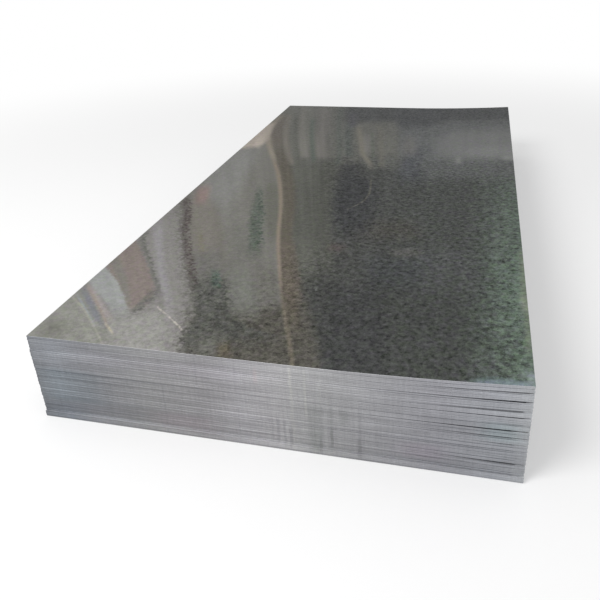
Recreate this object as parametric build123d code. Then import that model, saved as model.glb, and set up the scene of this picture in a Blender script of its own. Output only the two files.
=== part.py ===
from build123d import *
import math
import os

# A stack of galvanised steel plates, cut to one size and piled flat on the floor.
# Units are millimetres. X runs across the plates, Y along them and Z up. The origin is the middle
# of the underside. The front of the stack is the short side at -Y, and its right is at +X.
#
# The plates lie in packs. Inside a pack they nest face to face. Towards the right-hand edge each
# pack curls up a little more than the one below it, so thin wedges of air open between the packs.

# One plate
plate_width = 1250.0
plate_length = 2500.0
plate_thickness = 4.5
edge_roll = 0.5  # the shears round each upper edge off by this much

# The packs, from the floor up
plates_in_pack = [4, 2, 5, 4, 4, 4, 4, 4, 4, 4, 4, 5, 5, 4]
gap_over_pack = [0.4, 0.2, 1.9, 0.8, 0.5, 1.3, 1.9, 2.3, 1.2, 1.3, 1.8, 1.9, 1.9]  # at the right-hand edge
pack_setback = [-3.5, 1.5, 1.0, 1.0, 0.0, 1.0, 0.0, 0.5, 0.5, -0.5, -0.5, -1.0, 1.5, 1.5]  # back along +Y
curl_width = 540.0  # the curl begins this far in from the right-hand edge

# How evenly the plates were piled
stagger_across = 0.5  # the most that a plate lies to the left or right of the pile
stagger_along = 0.6  # the most that a plate lies before or behind its pack
STAGGER_TURN = 2.39996  # radians from one plate's stagger to the next, so that none repeats

curl_start = plate_width / 2 - curl_width  # the X where every plate's flat part ends


def lengthwise_section():
    """A plate cut along its length where its curl starts: its two sheared ends are rolled off."""
    end = plate_length / 2
    outline = [
        (-end, 0),
        (end, 0),
        (end, plate_thickness - edge_roll),
        (end - edge_roll, plate_thickness),
        (edge_roll - end, plate_thickness),
        (-end, plate_thickness - edge_roll),
    ]
    cut = Plane(origin=(curl_start, 0, 0), x_dir=(0, 1, 0), z_dir=(1, 0, 0))
    return cut * make_face(Polyline(*outline, close=True))


def long_edges_rolled(slab):
    """The same plate with its two long upper edges rolled off too."""
    lengthwise = [edge for edge in slab.edges().filter_by(Axis.Y) if edge.length < plate_length - edge_roll]
    across = ShapeList(lengthwise).sort_by(Axis.X)
    return chamfer([across[0], across[-1]], edge_roll)


def flat_plate(left, right):
    """A plate that lies flat from its left edge to its right edge."""
    section = lengthwise_section()
    slab = extrude(section, amount=right - curl_start) + extrude(section, amount=left - curl_start)
    return long_edges_rolled(slab)


def curled_plate(left, right, radius):
    """A plate whose right-hand part is bent up, to this radius on its underside."""
    section = lengthwise_section()
    flat = extrude(section, amount=left - curl_start)
    bend_axis = Axis((curl_start, 0, radius), (0, -1, 0))
    curl = revolve(section, axis=bend_axis, revolution_arc=math.degrees((right - curl_start) / radius))
    return long_edges_rolled(flat + curl)


def curl_radius(lift):
    """The radius of an arc that leaves the flat and rises by lift over the width of the curl."""
    return (curl_width**2 + lift**2) / (2 * lift)


def middle(values):
    """Half-way between the lowest and the highest value."""
    return (min(values) + max(values)) / 2


def pile():
    """Every plate of the pile, from the floor up, with the pile centred on the origin."""
    numbers = range(sum(plates_in_pack))
    pack_of = [pack for pack, count in enumerate(plates_in_pack) for _ in range(count)]
    across = [stagger_across * math.sin(STAGGER_TURN * number) for number in numbers]
    along = [pack_setback[pack_of[number]] + stagger_along * math.cos(STAGGER_TURN * number) for number in numbers]
    plates = []
    for number in numbers:
        pack = pack_of[number]
        left = across[number] - middle(across) - plate_width / 2
        right = left + plate_width
        lift = sum(gap_over_pack[:pack])
        if lift > 0:
            place_in_pack = number - sum(plates_in_pack[:pack])
            plate = curled_plate(left, right, curl_radius(lift) - place_in_pack * plate_thickness)
        else:
            plate = flat_plate(left, right)
        plates.append(Pos(0, along[number] - middle(along), number * plate_thickness) * plate)
    return plates


os.makedirs("parts", exist_ok=True)
for number, plate in enumerate(pile(), start=1):
    plate.label = f"plate_{number:02d}"
    export_step(plate, f"parts/{plate.label}.step")
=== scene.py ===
# %% [markdown]
# # A stack of galvanised steel plates
# Fifty-seven plates of one size lie on the floor in a flat pile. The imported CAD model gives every
# plate its place, and this lesson gives the plates their real edges, zinc and stains. Everything is
# in metres. X runs across the plates, Y along them away from the photographed end, and Z up.

# %% Load the frame
import math
import random

import bpy
from mathutils import Matrix, Vector


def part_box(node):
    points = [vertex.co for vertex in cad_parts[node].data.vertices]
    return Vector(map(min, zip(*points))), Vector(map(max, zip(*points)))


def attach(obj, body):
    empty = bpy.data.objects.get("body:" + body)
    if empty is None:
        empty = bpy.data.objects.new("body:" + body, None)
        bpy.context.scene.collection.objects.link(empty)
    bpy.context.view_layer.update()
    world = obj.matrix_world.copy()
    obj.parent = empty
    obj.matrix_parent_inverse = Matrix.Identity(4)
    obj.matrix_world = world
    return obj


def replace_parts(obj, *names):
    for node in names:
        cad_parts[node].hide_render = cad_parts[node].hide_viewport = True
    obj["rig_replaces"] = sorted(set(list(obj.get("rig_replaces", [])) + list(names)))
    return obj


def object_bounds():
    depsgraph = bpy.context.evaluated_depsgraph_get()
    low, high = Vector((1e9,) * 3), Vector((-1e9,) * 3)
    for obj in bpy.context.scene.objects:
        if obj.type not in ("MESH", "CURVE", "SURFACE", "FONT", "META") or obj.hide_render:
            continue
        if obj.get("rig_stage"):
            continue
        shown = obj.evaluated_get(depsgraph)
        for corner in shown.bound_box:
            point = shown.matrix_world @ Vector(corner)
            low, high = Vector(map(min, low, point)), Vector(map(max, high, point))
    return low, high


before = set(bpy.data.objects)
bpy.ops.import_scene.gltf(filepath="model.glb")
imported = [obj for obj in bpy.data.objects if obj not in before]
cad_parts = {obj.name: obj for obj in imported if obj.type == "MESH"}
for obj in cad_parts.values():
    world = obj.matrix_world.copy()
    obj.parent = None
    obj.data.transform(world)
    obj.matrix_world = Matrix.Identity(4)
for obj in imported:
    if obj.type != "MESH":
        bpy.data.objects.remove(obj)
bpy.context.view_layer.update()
plate_names = sorted(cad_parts)

# %% [markdown]
# ## Small helpers for node trees
# Geometry and materials are both made of nodes here. One helper adds a node and fills its inputs
# with numbers or with another node's output. The others each make one common kind of node, such as a
# sum or a soft change, so that each tree below reads like a list of steps.


# %% Helpers for nodes
def add(tree, kind, inputs=None, **settings):
    """Adds a node, changes its settings, and gives its inputs numbers or links."""
    made = tree.nodes.new(kind)
    for name, value in settings.items():
        setattr(made, name, value)
    for place, value in (inputs or {}).items():
        if isinstance(value, bpy.types.NodeSocket):
            tree.links.new(value, made.inputs[place])
        else:
            made.inputs[place].default_value = value
    return made


def sum_of(tree, operation, *values, clamp=False):
    """One Math node, which gives its result."""
    made = add(tree, "ShaderNodeMath", dict(enumerate(values)), operation=operation, use_clamp=clamp)
    return made.outputs[0]


def product(tree, result, *others):
    """All the values multiplied together."""
    for other in others:
        result = sum_of(tree, "MULTIPLY", result, other)
    return result


def fade(tree, value, start, end, low=0.0, high=1.0):
    """A soft change from low to high while value goes from start to end."""
    inputs = {0: value, 1: start, 2: end, 3: low, 4: high}
    return add(tree, "ShaderNodeMapRange", inputs, interpolation_type="SMOOTHSTEP").outputs[0]


def paint(tree, share, under, over, blend="MIX"):
    """Lays the colour over on the colour under, by share."""
    inputs = {0: share, 6: under, 7: over}
    made = add(tree, "ShaderNodeMix", inputs, data_type="RGBA", blend_type=blend)
    return made.outputs[2]


def scaled(tree, tone, factor):
    """The tone times a number."""
    grey = add(tree, "ShaderNodeCombineColor", {0: factor, 1: factor, 2: factor}).outputs[0]
    return paint(tree, 1.0, tone, grey, "MULTIPLY")


def noise(tree, place, scale, detail, roughness=0.5):
    """Soft noise, which lies about 0.5."""
    inputs = {"Vector": place, "Scale": scale, "Detail": detail, "Roughness": roughness}
    return add(tree, "ShaderNodeTexNoise", inputs).outputs[0]


def curve_through(tree, value, points, high=1.0, handle="AUTO"):
    """A curve through points, whose results run from 0 to high."""
    curve = add(tree, "ShaderNodeFloatCurve", {1: value})
    curve.mapping.extend = "HORIZONTAL"
    drawn = curve.mapping.curves[0].points
    drawn[0].location = (points[0][0], points[0][1] / high)
    drawn[1].location = (points[-1][0], points[-1][1] / high)
    for x, y in points[1:-1]:
        drawn.new(x, y / high)
    for point in drawn:
        point.handle_type = handle
    curve.mapping.update()
    if high == 1.0:
        return curve.outputs[0]
    return product(tree, curve.outputs[0], high)


def colour(red, green, blue):
    """A colour as a picker shows it, 0 to 255, in the linear numbers that shaders use."""
    channels = [value / 255 for value in (red, green, blue)]
    linear = [c / 12.92 if c <= 0.04045 else ((c + 0.055) / 1.055) ** 2.4 for c in channels]
    return (*linear, 1.0)


print("helpers ready, mid grey is", round(colour(128, 128, 128)[0], 3))

# %% [markdown]
# ## The camera
# The photograph was taken by hand from a little over a metre up, in front of the short end and right
# of its middle, and cropped later. The crop is why the lens is shifted.

# %% Camera
camera_place = Vector((0.4631, -2.4238, 1.1494))
camera_turn = math.radians(14.224)  # to the left of straight along the plates
camera_dip = math.radians(25.908)  # below the horizon
camera_lean = math.radians(-2.231)  # the camera was held a little askew

camera_data = bpy.data.cameras.new("camera")
camera_data.sensor_width = 36.0
camera_data.lens = 38.69
camera_data.shift_x = -0.0353
camera_data.shift_y = -0.0820
camera = bpy.data.objects.new("camera", camera_data)
bpy.context.scene.collection.objects.link(camera)
turned = (
    Matrix.Rotation(camera_turn, 4, "Z")
    @ Matrix.Rotation(math.pi / 2 - camera_dip, 4, "X")
    @ Matrix.Rotation(camera_lean, 4, "Z")
)
camera.matrix_world = Matrix.Translation(camera_place) @ turned
bpy.context.scene.camera = camera
print("camera at", tuple(round(v, 3) for v in camera_place))

# %% [markdown]
# ## One sheared plate
# A plate is cut on a guillotine. The blade first rolls the upper edge over, then burnishes a bright
# band, and the rest of the thickness tears and leans back a little. A box with a bevel could stand
# in, but then all four edges would look milled. So one tree builds the plate from a box of rings:
# each ring of vertices gets its own height and its own distance in from the edge. The right-hand
# part of the plate is then rolled up round a long cylinder, as the plates of the upper packs are.

# %% Sizes of the plates
plate_width = 1.25
plate_length = 2.5
plate_thickness = 0.0045
edge_roll = 0.0005  # how far the shears round the upper edge off
torn_share = 0.45  # the part of the thickness that tears
torn_lean = 0.0002  # how far in the torn part leans at the underside
bend_start = 0.085  # the X where the flat part ends
ACROSS_COUNT = 26  # rows of vertices across the plate, close enough for the bend
ROLL_STEPS = 3  # facets round the rolled edge
FLAT_RADIUS = 1e5  # a bend this wide is flat

# %% [markdown]
# The tree's inputs carry the names a fabricator would use. Some values are kept with the mesh for
# the materials: a number that differs from plate to plate, the height within the thickness, and where
# the plate's front end is. Four more are about the wedge of air above the plate: where it begins, how
# dark the painted shade at its mouth is, how far down the plate's edge that painted shade reaches, and
# where the painted light from the open side begins.


# %% Geometry Nodes tree of one plate
def plate_tree():
    """Builds the tree that makes one sheared plate."""
    tree = bpy.data.node_groups.new("sheared plate", "GeometryNodeTree")
    sizes = [
        "Left", "Front", "Underside", "Width", "Length", "Thickness", "Edge Roll", "Torn Share",
        "Torn Lean", "Bend Start", "Bend Radius", "Plate Tone", "Mouth Start", "Mouth Darkness",
        "Mouth Band", "Mouth End",
    ]
    for name in sizes:
        tree.interface.new_socket(name, in_out="INPUT", socket_type="NodeSocketFloat")
    for name in ("Face Finish", "Edge Finish"):
        tree.interface.new_socket(name, in_out="INPUT", socket_type="NodeSocketMaterial")
    tree.interface.new_socket("Plate", in_out="OUTPUT", socket_type="NodeSocketGeometry")
    given = add(tree, "NodeGroupInput").outputs

    # The box of rings, and each vertex's place in it from -0.5 to 0.5
    ring_count = 3 + ROLL_STEPS
    counts = {"Vertices X": ACROSS_COUNT, "Vertices Y": 2, "Vertices Z": ring_count}
    box = add(tree, "GeometryNodeMeshCube", {"Size": (1.0, 1.0, 1.0), **counts})
    place = add(tree, "ShaderNodeSeparateXYZ", {0: add(tree, "GeometryNodeInputPosition").outputs[0]})
    level = product(tree, sum_of(tree, "ADD", place.outputs[2], 0.5), ring_count - 1)
    ring = add(tree, "FunctionNodeFloatToInt", {0: level}, rounding_mode="ROUND").outputs[0]

    # Height and distance in from the edge, ring by ring from the underside up
    below_roll = sum_of(tree, "SUBTRACT", given["Thickness"], given["Edge Roll"])
    torn_height = product(tree, given["Thickness"], given["Torn Share"])
    heights = [0.0, torn_height]
    insets = [given["Torn Lean"], 0.0]
    for step in range(ROLL_STEPS + 1):
        angle = math.pi / 2 * step / ROLL_STEPS
        rolled = sum_of(tree, "MULTIPLY_ADD", given["Edge Roll"], math.sin(angle), below_roll)
        heights.append(rolled)
        insets.append(product(tree, given["Edge Roll"], 1 - math.cos(angle)))
    chosen = []
    for values in (heights, insets):
        switch = tree.nodes.new("GeometryNodeIndexSwitch")
        switch.data_type = "FLOAT"
        while len(switch.index_switch_items) < ring_count:
            switch.index_switch_items.new()
        tree.links.new(ring, switch.inputs["Index"])
        for number, value in enumerate(values):
            socket = switch.inputs[number + 1]
            if isinstance(value, bpy.types.NodeSocket):
                tree.links.new(value, socket)
            else:
                socket.default_value = value
        chosen.append(switch.outputs[0])
    height, inset = chosen

    # From the box to the plate's flat size
    flat = []
    for side, start, size in ((0, "Left", "Width"), (1, "Front", "Length")):
        share = sum_of(tree, "ADD", place.outputs[side], 0.5)
        full = sum_of(tree, "MULTIPLY_ADD", share, given[size], given[start])
        pull = product(tree, place.outputs[side], inset, -2.0)
        flat.append(sum_of(tree, "ADD", full, pull))
    across, along = flat

    # Rolled up round a cylinder whose middle is above the bend's start
    run = sum_of(tree, "MAXIMUM", sum_of(tree, "SUBTRACT", across, given["Bend Start"]), 0.0)
    turn = sum_of(tree, "DIVIDE", run, given["Bend Radius"])
    reach = sum_of(tree, "SUBTRACT", given["Bend Radius"], height)
    bent = product(tree, reach, sum_of(tree, "SINE", turn))
    new_across = sum_of(tree, "ADD", sum_of(tree, "MINIMUM", across, given["Bend Start"]), bent)
    half_sine = sum_of(tree, "SINE", product(tree, turn, 0.5))
    lifted = product(tree, half_sine, half_sine, given["Bend Radius"])
    tilted = product(tree, height, sum_of(tree, "COSINE", turn))
    risen = sum_of(tree, "MULTIPLY_ADD", lifted, 2.0, tilted)
    new_height = sum_of(tree, "ADD", risen, given["Underside"])
    new_place = add(tree, "ShaderNodeCombineXYZ", {0: new_across, 1: along, 2: new_height}).outputs[0]

    # What the materials read
    through = sum_of(tree, "DIVIDE", height, given["Thickness"])
    shape = box.outputs["Mesh"]
    kept_values = (
        ("through_thickness", through), ("plate_tone", given["Plate Tone"]), ("front_end", given["Front"]),
        ("mouth_start", given["Mouth Start"]), ("mouth_darkness", given["Mouth Darkness"]),
        ("mouth_band", given["Mouth Band"]), ("mouth_end", given["Mouth End"]),
    )
    for name, value in kept_values:
        inputs = {"Geometry": shape, "Name": name, "Value": value}
        kept = add(tree, "GeometryNodeStoreNamedAttribute", inputs, data_type="FLOAT", domain="POINT")
        shape = kept.outputs["Geometry"]
    shape = add(tree, "GeometryNodeSetPosition", {"Geometry": shape, "Position": new_place}).outputs[0]

    # Smooth over the bend, crisp at every edge the shears made
    bend_angle = add(tree, "GeometryNodeInputMeshEdgeAngle").outputs["Unsigned Angle"]
    crisp = add(tree, "FunctionNodeCompare", {0: bend_angle, 1: math.radians(20)}, operation="GREATER_THAN")
    shape = add(tree, "GeometryNodeSetShadeSmooth", {"Geometry": shape, "Shade Smooth": True}).outputs[0]
    inputs = {"Geometry": shape, "Selection": crisp.outputs[0], "Shade Smooth": False}
    shape = add(tree, "GeometryNodeSetShadeSmooth", inputs, domain="EDGE").outputs[0]

    # Bare steel wherever the shears went, and zinc on the two faces
    shape = add(tree, "GeometryNodeRealizeInstances", {"Geometry": shape}).outputs[0]
    inputs = {"Geometry": shape, "Material": given["Edge Finish"]}
    shape = add(tree, "GeometryNodeSetMaterial", inputs).outputs[0]
    facing = add(tree, "ShaderNodeSeparateXYZ", {0: add(tree, "GeometryNodeInputNormal").outputs[0]})
    upright = sum_of(tree, "ABSOLUTE", facing.outputs[2])
    is_face = add(tree, "FunctionNodeCompare", {0: upright, 1: 0.98}, operation="GREATER_THAN")
    inputs = {"Geometry": shape, "Selection": is_face.outputs[0], "Material": given["Face Finish"]}
    shape = add(tree, "GeometryNodeSetMaterial", inputs).outputs[0]
    add(tree, "NodeGroupOutput", {0: shape})
    return tree


sheared_plate = plate_tree()
print("plate tree:", len(sheared_plate.nodes), "nodes")

# %% [markdown]
# ## Zinc on its own
# Hot-dip zinc sets in small crystals, the spangle. Each crystal has its own tone and its own gloss.
# A picture of spangle would blur close up, so a Voronoi texture gives each crystal its numbers, and a
# little noise bends the crystals' borders, which are never straight on real zinc.

# %% Spangle
CRYSTAL_SCALE = 120.0  # crystals to a metre
MOTTLE_SCALE = 76.0  # the mottle spans a few crystals
HUE_SCALE = 55.0  # the blue and green tinges are broader still
FINE_SCALE = 380.0  # the grain within a crystal
BORDER_SCALE = 160.0  # bends in the crystals' borders
BORDER_BEND = 0.012  # how far the borders bend, in metres


def spangle_group():
    """A group with the mottle and the hue of the crystals, both about 0, and their gloss, 0 to 1."""
    tree = bpy.data.node_groups.new("spangle", "ShaderNodeTree")
    tree.interface.new_socket("Place", in_out="INPUT", socket_type="NodeSocketVector")
    for name in ("Mottle", "Hue", "Gloss"):
        tree.interface.new_socket(name, in_out="OUTPUT", socket_type="NodeSocketFloat")
    place = add(tree, "NodeGroupInput").outputs["Place"]
    bend = add(tree, "ShaderNodeTexNoise", {"Vector": place, "Scale": BORDER_SCALE, "Detail": 2.0})
    inputs = {0: bend.outputs["Color"], 1: (-0.5, -0.5, -0.5)}
    shift = add(tree, "ShaderNodeVectorMath", inputs, operation="ADD")
    small = add(tree, "ShaderNodeVectorMath", {0: shift.outputs[0], "Scale": BORDER_BEND}, operation="SCALE")
    bent = add(tree, "ShaderNodeVectorMath", {0: place, 1: small.outputs[0]}, operation="ADD").outputs[0]
    crystals = add(tree, "ShaderNodeTexVoronoi", {"Vector": bent, "Scale": CRYSTAL_SCALE}, feature="F1")
    numbers = add(tree, "ShaderNodeSeparateColor", {0: crystals.outputs["Color"]}).outputs
    broad = sum_of(tree, "MULTIPLY_ADD", noise(tree, bent, MOTTLE_SCALE, 6.0, 0.72), 3.0, -1.58)
    fine = sum_of(tree, "SUBTRACT", noise(tree, place, FINE_SCALE, 2.0), 0.5)
    mottle = sum_of(tree, "MULTIPLY_ADD", numbers[0], 0.25, broad)
    mottle = sum_of(tree, "MULTIPLY_ADD", fine, 0.3, mottle)
    hue = sum_of(tree, "MULTIPLY_ADD", noise(tree, bent, HUE_SCALE, 5.0, 0.65), 2.6, -1.3)
    add(tree, "NodeGroupOutput", {0: mottle, 1: hue, 2: numbers[1]})
    return tree


spangle = spangle_group()
print("spangle group:", len(spangle.nodes), "nodes")

# %% [markdown]
# Clean metal turns into a mirror at a glancing angle. Zinc that has stood in the air has a thin dull
# film and does so far less. On a metal, Specular Tint holds that glance back. The crystals then vary
# the tone, the tint and the gloss, and raise the surface a little.

# %% Zinc
DULL_GLANCE = (0.5, 0.5, 0.5, 1.0)
TINT_SHIFTS = (-0.3, 0.6, -1.1)  # what red, green and blue gain as a crystal turns from blue to green
GLOSSIEST = 0.34  # roughness of the glossiest and of the dullest crystals
DULLEST = 0.5


def new_material(name):
    """An empty node material."""
    material = bpy.data.materials.new(name)
    material.use_nodes = True
    material.node_tree.nodes.clear()
    return material, material.node_tree


def zinc_shader(tree, tone, swing, place, hue_swing):
    """Zinc with that tone, whose crystals differ by swing in tone and by hue_swing from blue to green."""
    crystals = add(tree, "ShaderNodeGroup", {0: place}, node_tree=spangle)
    mottle, hue, gloss = crystals.outputs
    painted = scaled(tree, tone, sum_of(tree, "MULTIPLY_ADD", mottle, swing, 1.0))
    swung = product(tree, hue, hue_swing)
    channels = [sum_of(tree, "MULTIPLY_ADD", swung, shift, 1.0) for shift in TINT_SHIFTS]
    tint = add(tree, "ShaderNodeCombineColor", dict(enumerate(channels))).outputs[0]
    painted = paint(tree, 1.0, painted, tint, "MULTIPLY")
    rough = fade(tree, gloss, 0.0, 1.0, GLOSSIEST, DULLEST)
    bump = add(tree, "ShaderNodeBump", {"Strength": 0.12, "Distance": 0.0003, "Height": mottle})
    inputs = {"Base Color": painted, "Roughness": rough, "Metallic": 1.0, "Normal": bump.outputs[0]}
    shader = add(tree, "ShaderNodeBsdfPrincipled", inputs)
    shader.inputs["Specular Tint"].default_value = DULL_GLANCE
    add(tree, "ShaderNodeOutputMaterial", {0: shader.outputs[0]})


print("glance held back to", DULL_GLANCE[0])

# %% [markdown]
# The faces inside the stack are painted dark, a painted shade that makes the wedges of air between the
# packs look so dark. The last millimetre at the ends and at the left-hand edge is left out of the painted
# shade, and near the right-hand edge the faces are painted pale, a painted light from the open side. Two
# packs stick out at the front, and the ledge on each is left out of the painted shade and painted
# lighter. One function makes both kinds of face, because only the depth of the lit strip and its tones
# differ.

# %% Zinc inside the stack
lit_plates = ("plate_04", "plate_48")
# The plate below each wedge of air: the X where the wedge begins to show, how dark the painted shade at
# its mouth is, how far down the plate's edge that painted shade reaches, as a share of the thickness, and
# the X where the painted light from the open side begins
mouths = {
    "plate_53": (0.32, 0.8, 0.4, 0.610), "plate_48": (0.37, 0.5, 0.25, 0.607),
    "plate_43": (0.36, 1.0, 0.8, 0.602), "plate_39": (0.45, 0.6, 0.25, 0.604),
    "plate_35": (0.46, 0.8, 0.4, 0.604), "plate_31": (0.38, 0.8, 0.25, 0.582),
    "plate_27": (0.39, 0.75, 0.3, 0.584), "plate_23": (0.44, 0.75, 0.4, 0.590),
    "plate_19": (0.30, 0.3, 0.25, 0.592), "plate_15": (0.46, 0.5, 0.35, 0.602),
    "plate_11": (0.40, 1.0, 0.5, 0.597),
}
NO_MOUTH = (1.0, 0.0, 0.2, 0.592)
OPENING_RUN = 0.16  # the mouth darkens over this much of the width
CLOSING_RUN = 0.01  # and pales again over this much
SIDE_LIGHT_RUN = 0.014  # the painted light from the open side comes in over this much
SHADE_EDGE_RUN = 0.0006  # and the face goes from the lit strip to painted shade over this much
left_edge = -plate_width / 2 - 0.0005  # the leftmost that a plate can lie
PALEST_ACROSS = 0.05  # the X where the lit strip has its middle tone
# Painted shade inside the stack
gap_shade_tone = (58, 60, 63)
# Painted light from the open right-hand side
side_lit_tone = (222, 223, 225)


def kept_value(tree, name):
    """A value that the mesh keeps for its materials."""
    return add(tree, "ShaderNodeAttribute", attribute_name=name).outputs["Fac"]


def mouth_share(tree, across):
    """How far a point is into the painted shade at the mouth of a wedge, from its X."""
    start = kept_value(tree, "mouth_start")
    end = kept_value(tree, "mouth_end")
    opened = fade(tree, across, start, sum_of(tree, "ADD", start, OPENING_RUN))
    closed = fade(tree, across, sum_of(tree, "ADD", end, CLOSING_RUN), end)
    return product(tree, opened, closed, kept_value(tree, "mouth_darkness"))


def inner_zinc(name, lit_depth, middle_tone, side_tone, swing):
    """The zinc of a face inside the stack, in painted shade but for a strip of that depth at the ends and
    the left-hand edge, and in painted light near the right-hand edge.

    The lit strip has one tone in the middle of its width and another at the sides.
    """
    material, tree = new_material(name)
    here = add(tree, "ShaderNodeTexCoord").outputs["Object"]
    place = add(tree, "ShaderNodeSeparateXYZ", {0: here}).outputs
    depth = sum_of(tree, "SUBTRACT", place[1], kept_value(tree, "front_end"))
    depth = sum_of(tree, "MINIMUM", depth, sum_of(tree, "SUBTRACT", plate_length, depth))
    depth = sum_of(tree, "MINIMUM", depth, sum_of(tree, "SUBTRACT", place[0], left_edge))
    covered = sum_of(tree, "MULTIPLY", mouth_share(tree, place[0]), 2.0, clamp=True)
    ledge = sum_of(tree, "MULTIPLY_ADD", covered, -lit_depth, lit_depth)
    shaded = fade(tree, depth, ledge, sum_of(tree, "ADD", ledge, SHADE_EDGE_RUN))
    off_middle = sum_of(tree, "ABSOLUTE", sum_of(tree, "SUBTRACT", place[0], PALEST_ACROSS))
    lit = paint(tree, fade(tree, off_middle, 0.1, 0.5), colour(*middle_tone), colour(*side_tone))
    tone = paint(tree, shaded, lit, colour(*gap_shade_tone))
    end = kept_value(tree, "mouth_end")
    side_lit = fade(tree, place[0], end, sum_of(tree, "ADD", end, SIDE_LIGHT_RUN))
    tone = paint(tree, side_lit, tone, colour(*side_lit_tone))
    zinc_shader(tree, tone, swing, here, 0.05)
    return material


shaded_zinc = inner_zinc("shaded zinc", 0.0012, (166, 166, 168), (146, 147, 151), 0.25)
# The ledges of the two packs that stick out are painted lighter, against the shade of the inner corner
lit_zinc = inner_zinc("lit zinc", 0.02, (190, 190, 192), (186, 187, 190), 0.1)
print("shaded zinc:", len(shaded_zinc.node_tree.nodes), "nodes")

# %% [markdown]
# ## The stained face on top, with painted reflections
# On the uppermost plate, stains lie among painted reflections of the surroundings, in bright and dark
# bands. They run in a fan, away from the spot on the floor below the camera. Each is a patch with a
# drawn left and right edge, measured in the fan: the turn in degrees to the left of straight back, and
# the distance in metres from the spot.

# %% Edges and patches in the fan
# The spot below the camera, from which the painted reflections fan out
reflection_spot = (0.4631, -2.4238)  # X and Y
NEAREST = 1.1  # distances, in metres
FARTHEST = 3.9
RIGHTMOST = -10.0  # turns, in degrees
LEFTMOST = 50.0
FAN_DEPTH = FARTHEST - NEAREST
FAN_SPREAD = LEFTMOST - RIGHTMOST


def along_fan(distance):
    """A distance as a share of the fan's depth."""
    return (distance - NEAREST) / FAN_DEPTH


def hand_drawn_edge(tree, distance_share, points):
    """The turn of an edge at each distance, as a curve through a few given points."""
    placed = sorted((along_fan(distance), (turn - RIGHTMOST) / FAN_SPREAD) for distance, turn in points)
    return curve_through(tree, distance_share, placed, handle="AUTO_CLAMPED")


def patch_group():
    """A group that says how much of a patch covers a point. Turns are shares of the whole fan."""
    tree = bpy.data.node_groups.new("patch cover", "ShaderNodeTree")
    names = [
        "Turn", "Distance", "Left Edge", "Right Edge", "Side Softness", "Near End", "Far End",
        "End Softness", "Holes", "Speckled Share", "Opacity",
    ]
    for name in names:
        tree.interface.new_socket(name, in_out="INPUT", socket_type="NodeSocketFloat")
    tree.interface.new_socket("Cover", in_out="OUTPUT", socket_type="NodeSocketFloat")
    given = add(tree, "NodeGroupInput").outputs
    cover = given["Opacity"]
    edges = (
        ("Turn", "Right Edge", "Side Softness", 1.0), ("Turn", "Left Edge", "Side Softness", -1.0),
        ("Distance", "Near End", "End Softness", 1.0), ("Distance", "Far End", "End Softness", -1.0),
    )
    for value, edge, softness, way in edges:
        past = sum_of(tree, "SUBTRACT", given[value], given[edge])
        outer = product(tree, given[softness], -way)
        inner = product(tree, given[softness], way)
        cover = product(tree, cover, fade(tree, past, outer, inner))
    open_part = product(tree, cover, given["Holes"])
    kept = product(tree, given["Speckled Share"], -1.0)
    cover = sum_of(tree, "MULTIPLY_ADD", open_part, kept, cover)
    add(tree, "NodeGroupOutput", {0: cover})
    return tree


patch_cover = patch_group()
print("patch group:", len(patch_cover.nodes), "nodes")

# %% [markdown]
# A picture could carry the stains and painted reflections, but it would blur close up and tie them to
# one view. Patches stay crisp, and each can be moved by hand. They are listed from the broadest to the
# finest, in the order in which a painter would lay them on. A row is a distance, a left edge and a right
# edge. Each patch has its tone, how strongly it covers, its softness at the sides in degrees and at the
# ends in metres, and how ragged its edges are. A speckled patch lets the zinc below show between its
# grains.

# %% Broad patches
ridge = [
    (1.2, 17.75), (1.4, 18.1), (1.6, 18.45), (1.8, 18.45), (2.0, 18.3), (2.2, 17.95), (2.4, 17.85),
    (2.6, 17.95), (2.8, 18.25), (3.0, 18.55), (3.2, 18.65), (3.4, 18.3), (3.6, 17.6), (3.9, 16.8),
]


def patch(name, tone, rows, opacity=1.0, side=0.3, end=0.05, rag=0.1, speckled=0.0):
    """One patch, from its nearest row to its farthest."""
    return dict(
        name=name, tone=tone, rows=rows, opacity=opacity, side=side, end=end, rag=rag, speckled=speckled
    )


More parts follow.
